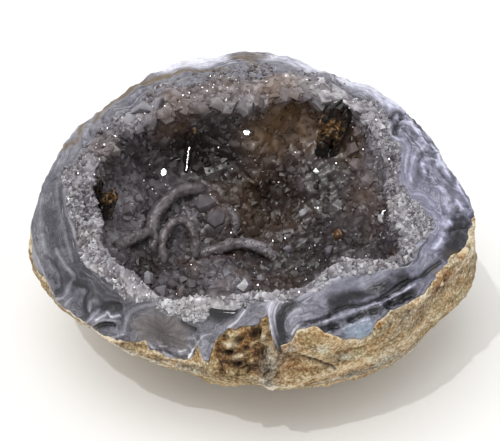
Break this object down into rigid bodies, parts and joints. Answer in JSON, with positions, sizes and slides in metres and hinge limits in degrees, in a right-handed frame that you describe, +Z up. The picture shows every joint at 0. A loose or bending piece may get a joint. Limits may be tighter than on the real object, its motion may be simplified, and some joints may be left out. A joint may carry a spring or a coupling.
{
  "type": "druzy agate half nodule",
  "caption": "Broken half of a hollow agate nodule with a tan rind, grey banded wall and a crystal-lined hollow, resting on its rounded underside.",
  "frame": {"origin": "on the surface that the stone rests on, under the middle of its box", "axes": "+X to the right and +Y to the back, seen from the broken low side of the wall; +Z up, out of the hollow's mouth"},
  "size_m": [0.0844, 0.081, 0.0379],
  "materials": {
    "matrix_rock": "dull, granular, broken",
    "banded_agate": "waxy, translucent, finely banded",
    "druzy_quartz": "glittering small crystals",
    "dark_mineral": "submetallic, glossy",
    "rust_mineral": "resinous"
  },
  "bodies": {
    "root": {"matrix_rind": "matrix_rock", "agate_wall": "banded_agate", "quartz_crust": "druzy_quartz", "dark_crystals_right": "dark_mineral", "dark_crystals_back": "dark_mineral", "dark_crystals_left": "dark_mineral", "rust_brown_grain": "rust_mineral"}
  },
  "joints": []
}
